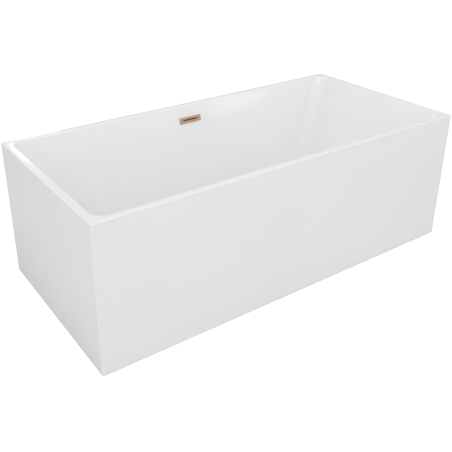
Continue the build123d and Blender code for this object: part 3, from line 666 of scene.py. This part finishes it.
CAMERA_TURN, CAMERA_RISE, CAMERA_ROLL = radians(-34.34), radians(24.77), radians(-0.24)
CAMERA_DISTANCE, CAMERA_LENS = 2.923, 51.7
CAMERA_AIM = Vector((-0.0222, 0.2119, RIM_Z / 2))
CAMERA_SHIFT = (0.0487, -0.1107)
SKY_LEVEL = 0.765                               # the surround's strength
SKY_TILT = (-0.12, -0.09, -0.06)                # what each axis adds to it
FLOOR_REACH = 40
FLOOR_LIFT = 0.7                                # a glow that only the camera sees

# Where each light is, what it points at, its two sides in metres and its power in watts.
LIGHTS = {
    "key": ((-0.1, -1.7, 3.7), (0, 0.3, 0.4), (1.8, 1.4), 37),
    "side": ((2.4, -2.6, 0.6), (0, 0, 0.5), (0.6, 0.8), 1.5),
    "low": ((-3.2, -1.2, 0.3), (-0.6, -0.2, 0.3), (1.0, 0.5), 6),
    "back": ((0.4, 3.6, 1.7), (0, 0, 0.6), (0.4, 0.4), 3),
}


def camera():
    """The camera, at the photograph's angle and framing."""
    level = cos(CAMERA_RISE)
    back = Vector((sin(CAMERA_TURN) * level, -cos(CAMERA_TURN) * level, sin(CAMERA_RISE)))
    data = bpy.data.cameras.new("camera")
    data.lens = CAMERA_LENS
    data.shift_x, data.shift_y = CAMERA_SHIFT
    holder = bpy.data.objects.new("camera", data)
    right = Vector((0, 0, 1)).cross(back).normalized()
    up = back.cross(right)
    turn = Matrix((right * cos(CAMERA_ROLL) + up * sin(CAMERA_ROLL),
                   up * cos(CAMERA_ROLL) - right * sin(CAMERA_ROLL), back)).transposed()
    holder.matrix_world = Matrix.Translation(CAMERA_AIM + back * CAMERA_DISTANCE) @ turn.to_4x4()
    bpy.context.scene.collection.objects.link(holder)
    bpy.context.scene.camera = holder


def soft_box(name, place, aim, size, power):
    """A rectangular area light."""
    data = bpy.data.lights.new(name, "AREA")
    data.shape, data.size, data.size_y = "RECTANGLE", *size
    data.energy = power
    holder = bpy.data.objects.new(name, data)
    holder.location = place
    holder.rotation_mode = "QUATERNION"
    holder.rotation_quaternion = (Vector(place) - Vector(aim)).to_track_quat("Z", "Y")
    bpy.context.scene.collection.objects.link(holder)


def world():
    """A pale surround, a little brighter to the left, in front and below. The camera sees plain white."""
    surround = bpy.data.worlds.new("surround")
    surround.use_nodes = True
    bpy.context.scene.world = surround
    tree = surround.node_tree
    add, link = tree.nodes.new, tree.links.new
    tilt = add("ShaderNodeVectorMath")
    tilt.operation = "DOT_PRODUCT"
    link(add("ShaderNodeTexCoord").outputs["Generated"], tilt.inputs[0])
    tilt.inputs[1].default_value = SKY_TILT
    level = add("ShaderNodeMath")
    level.operation = "ADD"
    link(tilt.outputs["Value"], level.inputs[0])
    level.inputs[1].default_value = SKY_LEVEL
    mix = add("ShaderNodeMix")
    link(add("ShaderNodeLightPath").outputs["Is Camera Ray"], mix.inputs["Factor"])
    link(level.outputs["Value"], mix.inputs["A"])
    mix.inputs["B"].default_value = 1.0
    link(mix.outputs["Result"], tree.nodes["Background"].inputs["Strength"])
    tree.nodes["Background"].inputs["Color"].default_value = (1, 1, 1, 1)


def floor():
    """A plain pale floor. What the camera sees of it is lifted to the surround's white."""
    f = Finish("pale_floor", Roughness=0.6, Specular_IOR_Level=0.1)
    clouds = f.noise(scale=1.5, detail=2.0)
    f.link(f.ramp(clouds, low=(0.76, 0.76, 0.76), high=(0.78, 0.78, 0.78)), "Base Color")
    seen = f.add("ShaderNodeLightPath").outputs["Is Camera Ray"]
    lift = f.add("ShaderNodeMath", Value=seen)
    lift.operation = "MULTIPLY"
    lift.inputs[1].default_value = FLOOR_LIFT
    f.link(lift.outputs["Value"], "Emission Strength")
    f.shader.inputs["Emission Color"].default_value = (1, 1, 1, 1)
    corners = [(sx * FLOOR_REACH, sy * FLOOR_REACH, 0) for sx, sy in ((-1, -1), (1, -1), (1, 1), (-1, 1))]
    mesh_piece("floor", corners, [(0, 1, 2, 3)], f.material)


# ---- putting it together ----------------------------------------------------------------------------

paint_frame()
settle(cut(basin(), overflow_hole()), "tub", "white_acrylic", "basin_shell")
settle(skirt(), "tub", "white_acrylic", "skirt_shell")
settle(overflow_cover(), "overflow_trim", "rose_gold_cover", "overflow_cover")
settle(plug_cap(), "plug", "rose_gold", "plug_cap")
settle(plug_ring(), "plug", "black_rubber", "plug_seal")
settle_spring()
feet()

camera()
world()
floor()
for name, light in LIGHTS.items():
    soft_box(name, *light)

bpy.context.scene.view_settings.view_transform = "Standard"
